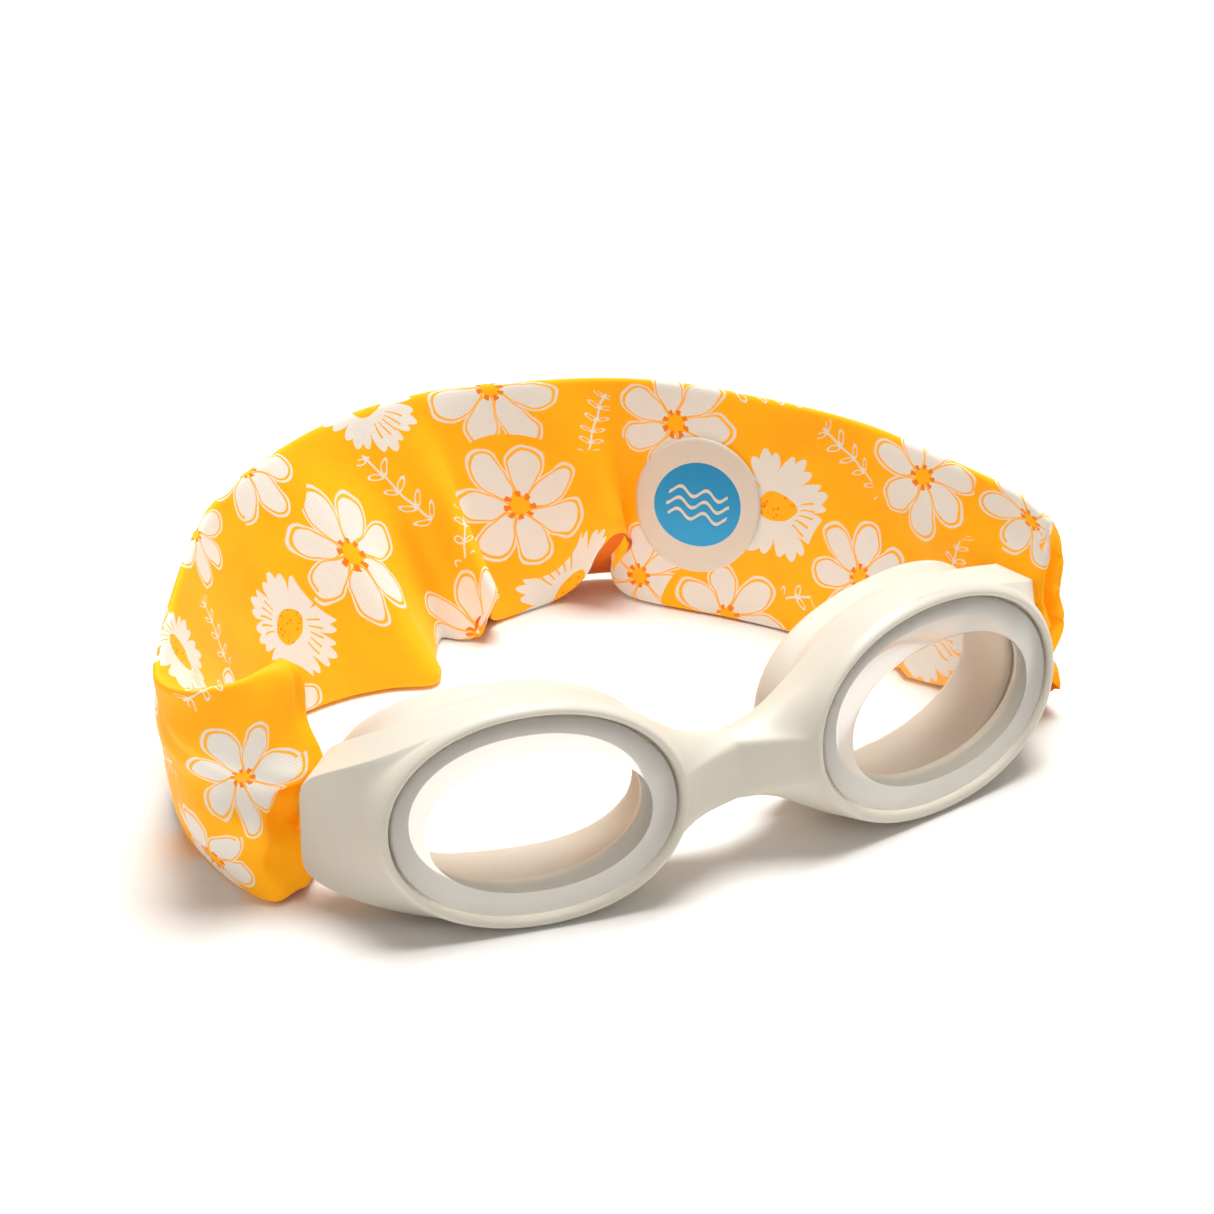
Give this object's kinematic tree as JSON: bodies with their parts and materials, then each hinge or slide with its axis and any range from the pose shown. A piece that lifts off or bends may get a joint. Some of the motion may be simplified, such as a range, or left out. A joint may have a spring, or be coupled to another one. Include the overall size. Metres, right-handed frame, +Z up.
{
  "type": "swim goggles",
  "caption": "Swim goggles with two clear lenses in a soft one-piece frame, held by a wide printed fabric band gathered into a clear clip at each temple.",
  "frame": {"origin": "bottom centre of the whole object's box, on the surface it stands on", "axes": "+Z up; the lenses face -Y and the back of the head is towards +Y; +X is the wearer's left"},
  "size_m": [0.15, 0.1048, 0.041],
  "materials": {
    "ivory_silicone": "soft satin ivory silicone",
    "seal_silicone": "matte, slightly translucent silicone",
    "clear_plastic": "clear polished polycarbonate",
    "clear_rubber": "clear ribbed elastomer strip",
    "printed_fabric": "smooth stretch swim fabric, golden yellow with a white flower print",
    "thread": "sewing thread",
    "label_patch": "round heat-pressed patch"
  },
  "bodies": {
    "frame_body": {"goggle_frame": "ivory_silicone", "left_face_seal": "seal_silicone", "right_face_seal": "seal_silicone", "left_lens": "clear_plastic", "right_lens": "clear_plastic", "left_clip": "clear_plastic", "right_clip": "clear_plastic", "left_tab_loop": "clear_rubber", "right_tab_loop": "clear_rubber"},
    "left_leg": {"left_strap_leg": "clear_rubber", "left_bar_tack": "thread"},
    "right_leg": {"right_strap_leg": "clear_rubber", "right_bar_tack": "thread"},
    "left_tail": {"left_tab_tail": "clear_rubber"},
    "right_tail": {"right_tab_tail": "clear_rubber"},
    "band": {"fabric_band": "printed_fabric", "left_gather": "printed_fabric", "right_gather": "printed_fabric", "round_label": "label_patch"}
  },
  "joints": [
    {"name": "strap_adjust", "type": "slide", "parent": "frame_body", "child": "left_leg", "axis": [-0.454, 0.891, 0], "range_m": [0, 0.012]},
    {"name": "right_leg_feed", "type": "slide", "parent": "frame_body", "child": "right_leg", "axis": [-0.454, 0.891, 0], "range_m": [0, 0.012]},
    {"name": "left_tail_feed", "type": "slide", "parent": "frame_body", "child": "left_tail", "axis": [-0.454, 0.891, 0], "range_m": [-0.012, 0]},
    {"name": "right_tail_feed", "type": "slide", "parent": "frame_body", "child": "right_tail", "axis": [-0.454, 0.891, 0], "range_m": [-0.012, 0]},
    {"name": "band_tilt", "type": "hinge", "parent": "left_leg", "child": "band", "pos_m": [0.01066, -0.00918, 0.0127], "axis": [1, 0, 0], "range_deg": [-30, 50]}
  ],
  "couplings": [
    {"joint": "right_leg_feed", "follows": "strap_adjust", "ratio": 1},
    {"joint": "left_tail_feed", "follows": "strap_adjust", "ratio": -1},
    {"joint": "right_tail_feed", "follows": "strap_adjust", "ratio": -1}
  ]
}
